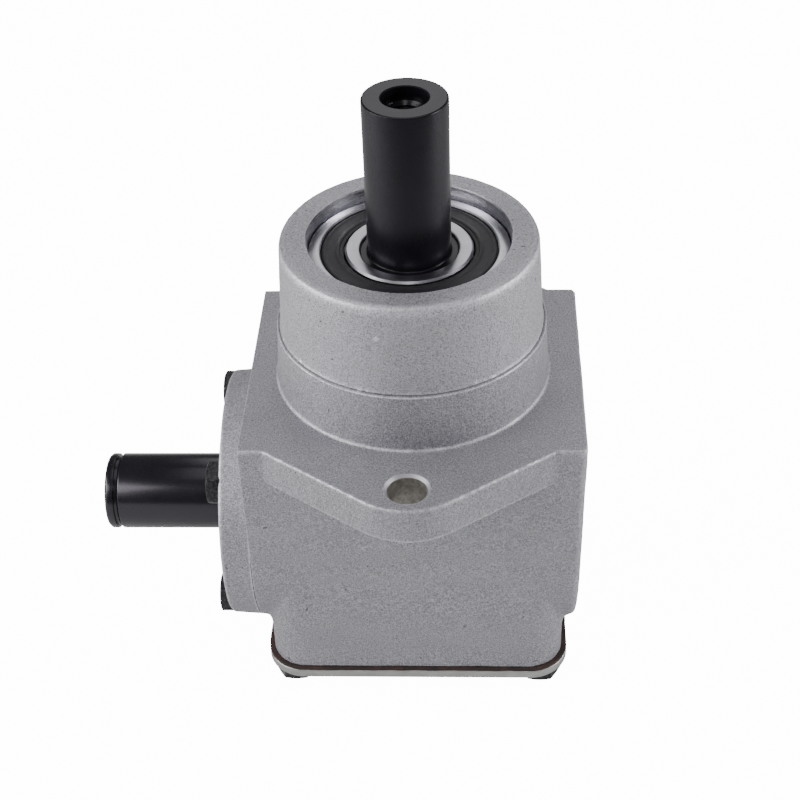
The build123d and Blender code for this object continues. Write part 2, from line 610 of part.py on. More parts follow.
# Gears, keys, shims and retaining rings
for apex_plane, phase, name in ((APEX_UP, 0.0, "vertical"), (APEX_LEFT, 0.5, "horizontal")):
    finish(miter_gear(apex_plane, phase), f"{name}_bevel_gear")
    finish(key_bar(apex_plane), f"{name}_gear_key")
    with BuildPart() as shim:
        with BuildSketch(apex_plane.offset(HUB_BACK)):
            Circle(SHIM_R)
            Circle(SHAFT_R, mode=Mode.SUBTRACT)
        extrude(amount=SHIM)
    finish(shim.part, f"{name}_gear_shim")
    ring_plane = apex_plane.offset(GEAR_FRONT - RING_THICKNESS)
    ring = split_ring(ring_plane, SHAFT_R - GROOVE_DEPTH, RING_R, RING_THICKNESS, RING_GAP, RING_LUG_R,
                      RING_LUG_HOLE_R, False)
    finish(ring, f"{name}_gear_retaining_ring")

# Bearings and the upper one's seals
bearing(VERTICAL, BIG_BEARING, UPPER_BEARING_Z, "upper")
bearing(VERTICAL, INCH_BEARING, LOWER_BEARING_Z, "lower")
bearing(HORIZONTAL, INCH_BEARING, LEFT_BEARING_X, "left")
bearing(HORIZONTAL, INCH_BEARING, RIGHT_BEARING_X, "right")
upper_face = UPPER_BEARING_Z + BIG_BEARING["width"]
bearing_seal(VERTICAL, BIG_BEARING, upper_face - SEAL_SINK - SEAL_THICKNESS, "upper_bearing_top_seal")
bearing_seal(VERTICAL, BIG_BEARING, UPPER_BEARING_Z + SEAL_SINK, "upper_bearing_bottom_seal")
bearing_ring = split_ring(Plane.XY.offset(LOWER_BEARING_Z - BORE_RING_THICKNESS), INCH_BEARING["outer"],
                          BORE_RING_GROOVE_R, BORE_RING_THICKNESS, BORE_RING_GAP, BORE_RING_LUG_R,
                          BORE_RING_LUG_HOLE_R, True)
finish(bearing_ring, "lower_bearing_retaining_ring")
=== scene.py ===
from math import atan2, cos, pi, radians, sin, sqrt

import bmesh
import bpy
import numpy as np
from mathutils import Matrix, Vector, noise


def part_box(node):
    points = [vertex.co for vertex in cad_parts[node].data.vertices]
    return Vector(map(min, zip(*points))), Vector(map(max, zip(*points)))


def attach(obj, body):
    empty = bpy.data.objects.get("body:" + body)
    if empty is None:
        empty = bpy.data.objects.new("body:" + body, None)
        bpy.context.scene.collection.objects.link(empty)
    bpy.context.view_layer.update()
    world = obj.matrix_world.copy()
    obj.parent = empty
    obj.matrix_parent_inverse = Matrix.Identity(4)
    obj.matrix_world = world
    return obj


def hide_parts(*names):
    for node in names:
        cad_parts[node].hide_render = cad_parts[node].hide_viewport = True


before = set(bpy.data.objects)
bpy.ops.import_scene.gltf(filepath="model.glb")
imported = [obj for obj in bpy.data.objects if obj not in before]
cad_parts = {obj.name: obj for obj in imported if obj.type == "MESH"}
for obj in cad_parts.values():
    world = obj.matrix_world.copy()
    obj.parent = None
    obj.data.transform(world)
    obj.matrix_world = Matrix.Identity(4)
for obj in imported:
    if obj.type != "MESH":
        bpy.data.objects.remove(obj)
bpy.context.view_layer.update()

# Right angle bevel gearbox: cast housing, black shafts, sealed bearing. Lengths are millimetres in this
# script and are turned into metres where a mesh is made. +Z runs up the vertical shaft, z = 0 is the flange
# face, and the horizontal shaft lies along X and comes out at -X.

MM = 0.001


def box_mm(node):
    """Lowest and highest corner of a CAD node, in millimetres."""
    low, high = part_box(node)
    return low / MM, high / MM


housing_low, housing_high = box_mm("gear_housing")
cover_low, cover_high = box_mm("side_cover")
plate_low, plate_high = box_mm("bottom_cover")
gasket_low, gasket_high = box_mm("bottom_gasket")
ring_low, ring_high = box_mm("upper_bearing_outer_ring")
v_shaft_low, v_shaft_high = box_mm("vertical_shaft")
h_shaft_low, h_shaft_high = box_mm("horizontal_shaft")

# Shafts
AXIS_Z = (h_shaft_low.z + h_shaft_high.z) / 2
SHAFT_R = 12.7
SEAL_TRACK_R = 12.3
RING_GROOVE_R = 11.95
COLLAR_R = 15.0
SHOULDER_R = 18.0

# Housing
BOSS_TOP = housing_high.z
BOSS_STEP_Z = 19.2
BOSS_FOOT_R = 43.3
BOLT_Y = 60.0
BOLT_HOLE_R = 6.0
BOLT_CHAMFER = 0.9
EAR_THICKNESS = 12.2
BORE_R = ring_high.x
BORE_CHAMFER = 0.4
MOUTH_R = BORE_R + BORE_CHAMFER
SEAT_Z = ring_low.z
PLAY = 0.02
LOWER_SEAT_R = 26.0
LOWER_SEAT_TOP = 0.5
RING_POCKET_R = 27.2
RING_POCKET = (-16.5, -14.5)
SHELF_R = 23.0
SHELF_TOP = 4.5
RELIEF_R = 28.0
HANGING_BOSS_R = 32.0
HANGING_BOSS_FOOT = -17.5
CAVITY_HALF = 35.0
CAVITY_RIGHT = 34.0
CAVITY_TOP = -10.0
LEFT_SEAT_END = -38.0
RIGHT_SEAT = (33.0, 49.4)
CAST_ALLOWANCE = 1.5

# Side cover
COVER_BOLT_R = 34.0
COVER_BACK = housing_low.x - 0.25
COVER_DRAFT = 0.06
SEAL_SEAT_R = 23.5
SEAL_DEPTH = 7.0
SCREW_HOLE_R = 4.4

# Bearing in the boss
BALL_PITCH_R = 23.0
BALL_GROOVE_R = 5.0
OUTER_SHOULDER_R = 27.0
INNER_SHOULDER_R = 19.5


# ---------------------------------------------------------------- meshes

def new_object(name, mesh):
    obj = bpy.data.objects.new(name, mesh)
    bpy.context.scene.collection.objects.link(obj)
    return obj


def mesh_from(name, points, faces):
    """A mesh from points in millimetres."""
    mesh = bpy.data.meshes.new(name)
    mesh.from_pydata([tuple(c * MM for c in p) for p in points], [], faces)
    mesh.update()
    return mesh


def turned(name, outline, line="vertical", segments=192):
    """A closed body turned about a shaft line, from (radius, place) corners in order round its section."""
    points, faces, rows = [], [], []
    for radius, place in outline:
        if radius < 1e-6:
            rows.append([len(points)] * segments)
            points.append((0.0, 0.0, place))
        else:
            rows.append(list(range(len(points), len(points) + segments)))
            points += [(radius * cos(2 * pi * i / segments), radius * sin(2 * pi * i / segments), place)
                       for i in range(segments)]
    for row in range(len(rows)):
        a, b = rows[row], rows[(row + 1) % len(rows)]
        for i in range(segments):
            j = (i + 1) % segments
            corner = list(dict.fromkeys((a[i], a[j], b[j], b[i])))
            if len(corner) > 2:
                faces.append(corner)
    if line == "horizontal":
        points = [(place, x, AXIS_Z + y) for x, y, place in points]
    obj = new_object(name, mesh_from(name, points, faces))
    outward(obj.data)
    return obj


def cylinder(name, radius, low, high, line="vertical", segments=192):
    """A plain cylinder between two places on a shaft line."""
    return turned(name, [(0, low), (radius, low), (radius, high), (0, high)], line, segments)


def outward(mesh):
    """Turn a closed mesh's normals outwards."""
    work = bmesh.new()
    work.from_mesh(mesh)
    bmesh.ops.recalc_face_normals(work, faces=work.faces)
    work.to_mesh(mesh)
    work.free()


def block(name, low, high):
    """A box between two corners."""
    points = [(x, y, z) for x in (low[0], high[0]) for y in (low[1], high[1]) for z in (low[2], high[2])]
    faces = [(0, 1, 3, 2), (4, 6, 7, 5), (0, 4, 5, 1), (2, 3, 7, 6), (0, 2, 6, 4), (1, 5, 7, 3)]
    obj = new_object(name, mesh_from(name, points, faces))
    outward(obj.data)
    return obj


def moved(obj, x=0.0, y=0.0, z=0.0):
    obj.data.transform(Matrix.Translation((x * MM, y * MM, z * MM)))
    return obj


def evaluated(obj):
    """Apply an object's modifiers to its mesh."""
    bpy.context.view_layer.update()
    mesh = bpy.data.meshes.new_from_object(obj.evaluated_get(bpy.context.evaluated_depsgraph_get()))
    obj.modifiers.clear()
    obj.data = mesh
    return obj


def joined(name, objects):
    """One object from several; the old ones go."""
    work = bmesh.new()
    for obj in objects:
        work.from_mesh(obj.data)
        bpy.data.objects.remove(obj)
    mesh = bpy.data.meshes.new(name)
    work.to_mesh(mesh)
    work.free()
    return new_object(name, mesh)


def cad_copy(name, node):
    """A welded copy of a CAD node's mesh."""
    work = bmesh.new()
    work.from_mesh(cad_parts[node].data)
    bmesh.ops.remove_doubles(work, verts=work.verts, dist=1e-6)
    mesh = bpy.data.meshes.new(name)
    work.to_mesh(mesh)
    work.free()
    return new_object(name, mesh)


def machined(obj, cutters, operation="DIFFERENCE"):
    """Cut obj with each cutter; the cut faces take material slot 2."""
    while len(obj.data.materials) < 2:
        obj.data.materials.append(None)
    for cutter in cutters:
        if operation == "DIFFERENCE":
            cutter.data.materials.append(None)
            cutter.data.materials.append(None)
            cutter.data.polygons.foreach_set("material_index", [1] * len(cutter.data.polygons))
        tool = obj.modifiers.new("cut", "BOOLEAN")
        tool.object = cutter
        tool.operation = operation
        tool.solver = "MANIFOLD"
        evaluated(obj)
        bpy.data.objects.remove(cutter)
    return obj


def crisp(obj, angle=32):
    """Smooth shading, split at edges sharper than the angle."""
    obj.data.shade_smooth()
    obj.data.set_sharp_from_angle(angle=radians(angle))
    return obj


# ---------------------------------------------------------------- casting

def cast_skin(obj, voxel, passes):
    """Turn a closed solid into a casting: an even mesh with all its edges softened."""
    remesh = obj.modifiers.new("even", "REMESH")
    remesh.mode = "VOXEL"
    remesh.voxel_size = voxel * MM
    evaluated(obj)
    smooth = obj.modifiers.new("soft", "SMOOTH")
    smooth.factor = 0.5
    smooth.iterations = passes
    return evaluated(obj)


def points_of(mesh):
    co = np.empty(len(mesh.vertices) * 3)
    mesh.vertices.foreach_get("co", co)
    return co.reshape(-1, 3) / MM


def normals_of(mesh):
    co = np.empty(len(mesh.vertices) * 3)
    mesh.vertices.foreach_get("normal", co)
    return co.reshape(-1, 3)


def set_points(mesh, points):
    mesh.vertices.foreach_set("co", (points * MM).ravel())
    mesh.update()


def uneven(obj, layers, offset=0.0):
    """Push the surface in and out a little: layers of (depth, wavelength), millimetres."""
    points, normals = points_of(obj.data), normals_of(obj.data)
    push = np.full(len(points), offset)
    for depth, wavelength in layers:
        push += depth * np.array([noise.noise(Vector(p) / wavelength) for p in points])
    set_points(obj.data, points + normals * push[:, None])
    return obj


def stretched_end(obj, face_x, allowance):
    """Leave metal to machine off an end face."""
    for vertex in obj.data.vertices:
        if abs(vertex.co.x / MM - face_x) < 0.01:
            vertex.co.x += allowance * MM


def ramp(distance, width):
    """0 at no distance, rising to 1 over the width."""
    return np.clip(distance / width, 0, 1)


def blended(obj, weight, passes):
    """Smooth a casting further where weight, a function of its points in millimetres, says so."""
    share = weight(*points_of(obj.data).T)
    group = obj.vertex_groups.new(name="blend")
    for index in np.flatnonzero(share > 0.02):
        group.add([int(index)], float(min(share[index], 1.0)), "REPLACE")
    smooth = obj.modifiers.new("blend", "SMOOTH")
    smooth.factor = 0.5
    smooth.iterations = passes
    smooth.vertex_group = "blend"
    evaluated(obj)
    obj.vertex_groups.clear()
    return obj


SHOULDER_TOP = -58.0
SUMP_FOOT = -93.5
SUMP_END_X = 49.0
WAIST_Z = -57.0


def sump_shoulders(x, y, z):
    """Where the sump leaves the block's round underside."""
    at_end = ramp(4.5 - np.abs(np.abs(x) - SUMP_END_X), 3)
    return ramp(SHOULDER_TOP - z, 6) * ramp(z - SUMP_FOOT, 1.5) * at_end


def block_waist(x, y, z):
    """The crease along the front and back, just below the shaft's height."""
    return ramp(5 - np.abs(z - WAIST_Z), 3) * ramp(np.abs(y) - 38, 2) * ramp(46 - np.abs(x), 3)


STEP_LOOPS = (-0.9, -0.6, -0.38, -0.22, -0.08, 0.06, 0.18, 0.3, 0.42, 0.6, 0.9)
GROOVE_DEPTH, GROOVE_RISE, GROOVE_WIDTH = 0.38, 0.28, 0.18
FLASH_HEIGHT, FLASH_DROP, FLASH_WIDTH = 0.24, 0.22, 0.22


def boss_step(obj):
    """The parting step round the boss: a shallow groove with a thin raised edge below it."""
    work = bmesh.new()
    work.from_mesh(obj.data)
    for height in STEP_LOOPS:
        side = [f for f in work.faces
                if abs(f.calc_center_median().z / MM - BOSS_STEP_Z) < 3 and abs(f.normal.z) < 0.6]
        edges = {e for f in side for e in f.edges}
        verts = {v for f in side for v in f.verts}
        bmesh.ops.bisect_plane(work, geom=side + list(edges) + list(verts), dist=1e-7,
                               plane_co=(0, 0, (BOSS_STEP_Z + height) * MM), plane_no=(0, 0, 1))
    work.to_mesh(obj.data)
    work.free()
    points = points_of(obj.data)
    rise = points[:, 2] - BOSS_STEP_Z
    radius = np.hypot(points[:, 0], points[:, 1])
    turn = np.arctan2(points[:, 1], points[:, 0])
    near = (np.abs(rise) < 1.6) & (radius > 36)
    worn = 0.85 + 0.2 * np.sin(3 * turn + 1.0) + 0.1 * np.sin(11 * turn)
    groove = -GROOVE_DEPTH * np.exp(-((rise - GROOVE_RISE) / GROOVE_WIDTH) ** 2) * worn
    flash = FLASH_HEIGHT * np.exp(-((rise + FLASH_DROP) / FLASH_WIDTH) ** 2) * worn
    scale = np.where(near, (radius + groove + flash) / radius, 1.0)
    points[:, 0] *= scale
    points[:, 1] *= scale
    set_points(obj.data, points)
    return obj


finish_of = {}


def placed(obj, body, slot, *nodes, finish=None):
    """Set a finished piece on its body, in place of its CAD nodes. Its finish is the slot's, unless given."""
    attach(obj, body)
    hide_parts(*nodes)
    finish_of[obj.name] = finish or slot


def soften(obj, width):
    """Break the sharp edges."""
    bevel = obj.modifiers.new("edges", "BEVEL")
    bevel.width = width * MM
    bevel.segments = 2
    bevel.limit_method = "ANGLE"
    bevel.angle_limit = radians(25)
    return evaluated(obj)


def rounded(outline):
    """Cut each corner of a section once, so that it reads as moulded."""
    points = []
    for index, (r, z) in enumerate(outline):
        before, after = outline[index - 1], outline[(index + 1) % len(outline)]
        for near in (before, after):
            points.append((r + (near[0] - r) * 0.22, z + (near[1] - z) * 0.22))
    return points


def bearing_ring(name, back, shoulder, back_chamfer, shoulder_chamfer):
    """A ring of the boss's bearing: chamfered at the back, with the ball groove in its shoulder."""
    low, high = ring_low.z, ring_high.z
    side = 1 if back > shoulder else -1
    middle = (low + high) / 2
    depth = BALL_PITCH_R + side * (BALL_GROOVE_R - 0.15) - shoulder
    mouth = sqrt(BALL_GROOVE_R ** 2 - (BALL_GROOVE_R - abs(depth)) ** 2)
    reach = atan2(mouth, BALL_GROOVE_R - abs(depth))
    centre = shoulder + depth - side * BALL_GROOVE_R
    groove = [(centre + side * BALL_GROOVE_R * cos(a), middle - BALL_GROOVE_R * sin(a))
              for a in (reach * (i / 6 - 1) for i in range(13))]
    b, c = back_chamfer * side, shoulder_chamfer * side
    outline = [(shoulder + c, high), (back - b, high), (back - b * 0.3, high - back_chamfer * 0.3),
               (back, high - back_chamfer), (back, low + back_chamfer), (back - b, low), (shoulder + c, low),
               (shoulder, low + shoulder_chamfer)]
    outline += list(reversed(groove)) + [(shoulder, high - shoulder_chamfer)]
    return turned(name, outline)


def keyed(shaft, key_node):
    """Cut a shaft's keyway, from the key's own box."""
    low, high = box_mm(key_node)
    return machined(shaft, [block("keyway", low, high)])


def slab(name, low, high, corner, edge, wander=0.0):
    """A plate with round corners and rounded edges; wander makes its outline uneven."""
    half_x, half_y = high.x, high.y
    outline = []
    for quarter in range(4):
        centre = ((half_x - corner) * (1, -1, -1, 1)[quarter], (half_y - corner) * (1, 1, -1, -1)[quarter])
        for i in range(17):
            a = pi / 2 * (quarter + i / 16)
            outline.append((centre[0] + corner * cos(a), centre[1] + corner * sin(a), cos(a), sin(a)))
    fine = []
    for (x0, y0, u0, v0), (x1, y1, u1, v1) in zip(outline, outline[1:] + outline[:1]):
        steps = max(1, round(sqrt((x1 - x0) ** 2 + (y1 - y0) ** 2) / 1.5))
        for i in range(steps):
            t = i / steps
            fine.append((x0 + (x1 - x0) * t, y0 + (y1 - y0) * t, u0 + (u1 - u0) * t, v0 + (v1 - v0) * t))
    profile = [(edge * (1 - sin(a)), edge * (1 - cos(a))) for a in (pi / 2 * i / 4 for i in range(5))]
    levels = [(inset, low.z + rise) for inset, rise in profile]
    levels += [(inset, high.z - rise) for inset, rise in reversed(profile)]
    points, faces = [], []
    for inset, z in levels:
        for x, y, u, v in fine:
            drift = wander * (noise.noise(Vector((x, y, z * 3)) / 3.1) - 0.5)
            points.append((x - u * (inset - drift), y - v * (inset - drift), z))
    count = len(fine)
    for row in range(len(levels) - 1):
        for i in range(count):
            j = (i + 1) % count
            faces.append((row * count + i, row * count + j, (row + 1) * count + j, (row + 1) * count + i))
    faces.append(tuple(reversed(range(count))))
    faces.append(tuple(range((len(levels) - 1) * count, len(levels) * count)))
    obj = new_object(name, mesh_from(name, points, faces))
    outward(obj.data)
    return obj


# Housing: the CAD solid with its openings filled, softened like a casting, then machined
raw_housing = cad_copy("casting", "gear_housing")
stretched_end(raw_housing, housing_low.x, -CAST_ALLOWANCE)
fillers = [
    cylinder("fill", MOUTH_R, 0, BOSS_TOP),
    cylinder("fill", 26.5, housing_low.x - CAST_ALLOWANCE, -30, "horizontal"),
    block("fill", (-44, -37, housing_low.z), (44, 37, -60)),
]
for side in (1, -1):
    fillers.append(moved(cylinder("fill", 7.5, -EAR_THICKNESS, 0, segments=48), y=side * BOLT_Y))
housing = joined("gearbox_housing", [raw_housing] + fillers)
cast_skin(housing, 0.55, 3)
blended(housing, sump_shoulders, 50)
blended(housing, block_waist, 60)
uneven(housing, ((0.10, 14.0), (0.05, 4.0), (0.025, 1.3)), -0.02)
boss_step(housing)

cavity = block("cavity", (-CAVITY_HALF, -CAVITY_HALF, housing_low.z - 5),
               (CAVITY_RIGHT, CAVITY_HALF, CAVITY_TOP))
left_mill = block("mill", (housing_low.x - 9, -90, -120), (housing_low.x, 90, 20))
hanging_boss = cylinder("hanging", HANGING_BOSS_R, HANGING_BOSS_FOOT, CAVITY_TOP + 1)
vertical_bore = turned("bore", [
    (0, HANGING_BOSS_FOOT - 3), (LOWER_SEAT_R, HANGING_BOSS_FOOT - 3), (LOWER_SEAT_R, RING_POCKET[0]),
    (RING_POCKET_R, RING_POCKET[0]), (RING_POCKET_R, RING_POCKET[1]), (LOWER_SEAT_R, RING_POCKET[1]),
    (LOWER_SEAT_R, LOWER_SEAT_TOP), (SHELF_R, LOWER_SEAT_TOP), (SHELF_R, SHELF_TOP), (RELIEF_R, SHELF_TOP),
    (RELIEF_R, SEAT_Z), (BORE_R + PLAY, SEAT_Z), (BORE_R + PLAY, BOSS_TOP - BORE_CHAMFER),
    (MOUTH_R, BOSS_TOP), (MOUTH_R, BOSS_TOP + 3), (0, BOSS_TOP + 3)], segments=256)
side_seat_r = LOWER_SEAT_R + PLAY
horizontal_bore = turned("bore", [
    (0, -60), (side_seat_r, -60), (side_seat_r, LEFT_SEAT_END), (SHELF_R, LEFT_SEAT_END),
    (SHELF_R, RIGHT_SEAT[0]), (side_seat_r, RIGHT_SEAT[0]), (side_seat_r, RIGHT_SEAT[1]),
    (0, RIGHT_SEAT[1])], "horizontal")
machined(housing, [cavity, left_mill])
machined(housing, [hanging_boss], "UNION")
machined(housing, [vertical_bore, horizontal_bore])
for side in (1, -1):
    machined(housing, [moved(turned("hole", [
        (0, -EAR_THICKNESS - 2), (BOLT_HOLE_R, -EAR_THICKNESS - 2), (BOLT_HOLE_R, -BOLT_CHAMFER),
        (BOLT_HOLE_R + BOLT_CHAMFER + 0.6, 0.6), (0, 0.6)], segments=96), y=side * BOLT_Y)])
crisp(housing)
placed(housing, "housing", "cast_aluminium", "gear_housing")

# Side cover: the same treatment, then its seal bore, register and screw holes
raw_cover = cad_copy("casting", "side_cover")
stretched_end(raw_cover, COVER_BACK, CAST_ALLOWANCE)
rough_back = COVER_BACK + CAST_ALLOWANCE
cover_fill = [cylinder("fill", 30, cover_low.x, rough_back, "horizontal")]
cover_spots = [(COVER_BOLT_R * cos(a), COVER_BOLT_R * sin(a))
               for a in (radians(45 + 90 * i) for i in range(4))]
for y, z in cover_spots:
    cover_fill.append(moved(cylinder("fill", 5, cover_low.x, rough_back, "horizontal", 32), y=y, z=z))
side_cover = joined("side_cover_casting", [raw_cover] + cover_fill)
cast_skin(side_cover, 0.5, 3)
uneven(side_cover, ((0.08, 12.0), (0.04, 4.0), (0.025, 1.2)), -0.02)
points = points_of(side_cover.data)
shrink = 1 - COVER_DRAFT * (COVER_BACK - points[:, 0]) / cover_high.y
points[:, 1] *= shrink
points[:, 2] = AXIS_Z + (points[:, 2] - AXIS_Z) * shrink
set_points(side_cover.data, points)
cover_mill = block("mill", (COVER_BACK, -60, -120), (COVER_BACK + 5, 60, 20))
cover_bore = turned("bore", [
    (0, cover_low.x - 2), (SEAL_SEAT_R, cover_low.x - 2), (SEAL_SEAT_R, cover_low.x + SEAL_DEPTH),
    (COLLAR_R, cover_low.x + SEAL_DEPTH), (COLLAR_R, -53), (LOWER_SEAT_R, -53),
    (LOWER_SEAT_R, cover_high.x + 2), (0, cover_high.x + 2)], "horizontal")
machined(side_cover, [cover_mill, cover_bore])
for y, z in cover_spots:
    hole = cylinder("hole", SCREW_HOLE_R, cover_low.x - 2, cover_high.x + 2, "horizontal", 48)
    machined(side_cover, [moved(hole, y=y, z=z)])
placed(crisp(side_cover), "housing", "cast_aluminium", "side_cover")

# Bearing rings that show, ground and chamfered
placed(crisp(bearing_ring("bearing_outer_race", ring_high.x, OUTER_SHOULDER_R, 1.4, 0.4)),
       "housing", "bearing_steel", "upper_bearing_outer_ring")
placed(crisp(bearing_ring("bearing_inner_race", COLLAR_R, INNER_SHOULDER_R, 0.8, 0.6)),
       "vertical_shaft_group", "bearing_steel", "upper_bearing_inner_ring")

# The bearing's rubber seal: bead in the outer ring, sunk face, and a stepped lip by the inner ring
seal_low, seal_high = box_mm("upper_bearing_top_seal")
face = seal_high.z
seal = turned("bearing_seal", rounded([
    (20.0, face - 0.85), (20.0, face - 0.45), (20.5, face - 0.32), (21.0, face - 0.32), (21.3, face - 0.04),
    (22.0, face - 0.02), (22.3, face - 0.16), (25.2, face - 0.16), (25.5, face - 0.02), (26.3, face - 0.02),
    (26.7, face - 0.3), (26.98, face - 0.55), (26.98, seal_low.z), (20.6, seal_low.z), (20.3, face - 0.85)]))
placed(crisp(seal, 40), "housing", "seal_rubber", "upper_bearing_top_seal")

# Vertical shaft: its collar fills the bearing, and its threaded hole is drawn as rings at the thread's pitch
TOP = v_shaft_high.z
FOOT = v_shaft_low.z
COLLAR_CHAMFER = 0.3
STEP_Z = ring_high.z - 1.0
STEP_ROUND = 0.5
COUNTERBORE_R = 7.0
COUNTERBORE_DEPTH = 4.0
THREAD_R = 5.15
THREAD_ROOT_R = 5.95
THREAD_PITCH = 1.75
step = [(COLLAR_R, STEP_Z - COLLAR_CHAMFER), (COLLAR_R - COLLAR_CHAMFER, STEP_Z)]
step += [(SHAFT_R + STEP_ROUND * (1 - sin(a)), STEP_Z + STEP_ROUND * (1 - cos(a)))
         for a in (pi / 2 * i / 4 for i in range(5))]
thread = []
for turn_index in range(14):
    z = TOP - 5.2 - THREAD_PITCH * turn_index
    thread += [(THREAD_R, z), (THREAD_ROOT_R, z - 0.8), (THREAD_ROOT_R, z - 0.95)]
vertical_shaft = turned("output_shaft", [
    (COUNTERBORE_R + 0.3, TOP), (SHAFT_R - 0.55, TOP), (SHAFT_R - 0.15, TOP - 0.2), (SHAFT_R, TOP - 0.6)]
    + list(reversed(step))
    + [(COLLAR_R, SEAT_Z), (SHOULDER_R, SEAT_Z), (SHOULDER_R, 7.5), (COLLAR_R, 7.5),
       (COLLAR_R, LOWER_SEAT_TOP), (SHAFT_R, LOWER_SEAT_TOP), (SHAFT_R, -30.9), (RING_GROOVE_R, -30.9),
       (RING_GROOVE_R, -32.1), (SHAFT_R, -32.1), (SHAFT_R, FOOT + 0.6), (SHAFT_R - 0.6, FOOT), (0, FOOT),
       (0, TOP - 30), (THREAD_R, TOP - 30)]
    + list(reversed(thread))
    + [(5.9, TOP - COUNTERBORE_DEPTH), (COUNTERBORE_R, TOP - COUNTERBORE_DEPTH), (COUNTERBORE_R, TOP - 0.3)],
    segments=160)
vertical_shaft = keyed(vertical_shaft, "vertical_gear_key")
placed(crisp(vertical_shaft, 25), "vertical_shaft_group", "black_oxide_steel", "vertical_shaft")

# Horizontal shaft: rounded tip, ring groove with a sloped side, and the track of the oil seal
TIP = h_shaft_low.x
TAIL = h_shaft_high.x
TIP_GROOVE_R = SHAFT_R - 0.85
horizontal_shaft = turned("input_shaft", [
    (0, TIP), (SHAFT_R - 0.95, TIP), (SHAFT_R - 0.75, TIP + 0.12), (SHAFT_R - 0.1, TIP + 0.8),
    (SHAFT_R, TIP + 1.05), (SHAFT_R, TIP + 2.75), (SHAFT_R - 0.06, TIP + 2.85), (TIP_GROOVE_R, TIP + 2.9),
    (TIP_GROOVE_R, TIP + 3.9), (SHAFT_R - 0.06, TIP + 4.65), (SHAFT_R, TIP + 4.8),
    (SHAFT_R, cover_low.x - 0.2), (SEAL_TRACK_R, cover_low.x - 0.1), (SEAL_TRACK_R, cover_low.x + 6.9),
    (SHAFT_R, cover_low.x + SEAL_DEPTH), (SHAFT_R, -21.6), (RING_GROOVE_R, -21.6), (RING_GROOVE_R, -20.4),
    (SHAFT_R, -20.4), (SHAFT_R, TAIL - 0.8), (SHAFT_R - 0.8, TAIL), (0, TAIL)], "horizontal", 160)
horizontal_shaft = keyed(horizontal_shaft, "horizontal_gear_key")
placed(crisp(horizontal_shaft, 25), "horizontal_shaft_group", "black_oxide_steel", "horizontal_shaft",
       finish="burnished_steel")

# Bottom plate and gasket
PLATE_CORNER_R = 12.8
placed(crisp(slab("bottom_plate", plate_low, plate_high, PLATE_CORNER_R, 0.45), 40),
       "housing", "zinc_plate", "bottom_cover")
placed(crisp(slab("bottom_seal_gasket", gasket_low, gasket_high, PLATE_CORNER_R, 0.12, wander=0.16), 60),
       "housing", "gasket_fibre", "bottom_gasket")

# Hexagon screws, their edges broken
for name, node in (("plate_screws", "bottom_cover_screws"), ("cover_screws", "side_cover_screws")):
    screws = cad_copy(name, node)
    soften(screws, 0.22)
    placed(crisp(screws, 35), "housing", "black_screw", node)


# ---------------------------------------------------------------- materials

